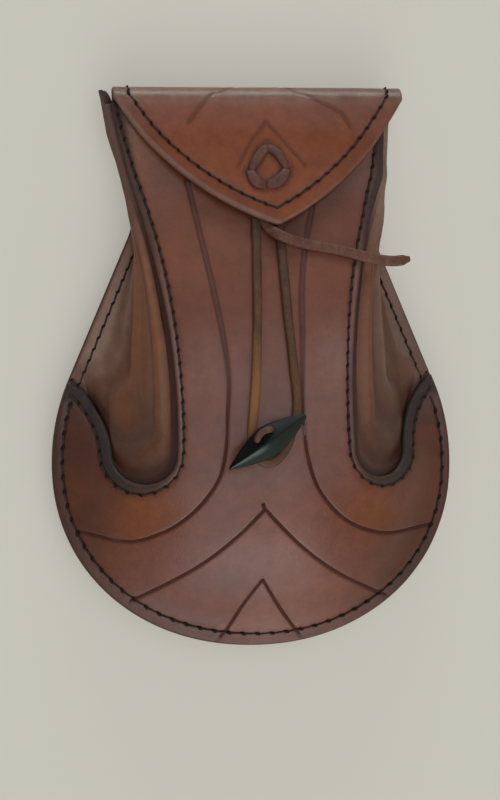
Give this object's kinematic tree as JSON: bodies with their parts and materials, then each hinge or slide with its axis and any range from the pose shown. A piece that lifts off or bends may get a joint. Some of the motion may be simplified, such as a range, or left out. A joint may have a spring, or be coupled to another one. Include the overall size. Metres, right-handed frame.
{
  "type": "belt bag",
  "caption": "Kidney-shaped leather belt pouch with a folded pointed flap, puffed side gussets, a thong loop over a pointed toggle, and a belt loop on the back.",
  "frame": {"origin": "middle of the outline, on the surface that the bag lies on", "axes": "+X to the right-hand side of the front, +Y up towards the flap's fold, +Z out of the front"},
  "size_m": [0.1604, 0.2227, 0.0615],
  "materials": {
    "leather": "waxed reddish-brown vegetable-tanned leather with burnished dark edges",
    "gusset_leather": "softer brown leather with folds",
    "lace": "dry brown lace",
    "horn": "polished black horn"
  },
  "bodies": {
    "root": {"back_and_flap": "leather", "front_panel": "leather", "gusset_left": "gusset_leather", "gusset_right": "gusset_leather", "belt_loop": "leather", "flap_lacing": "lace", "thong_loop": "lace", "thong_end": "lace", "toggle": "horn", "toggle_tie": "lace"}
  },
  "joints": []
}
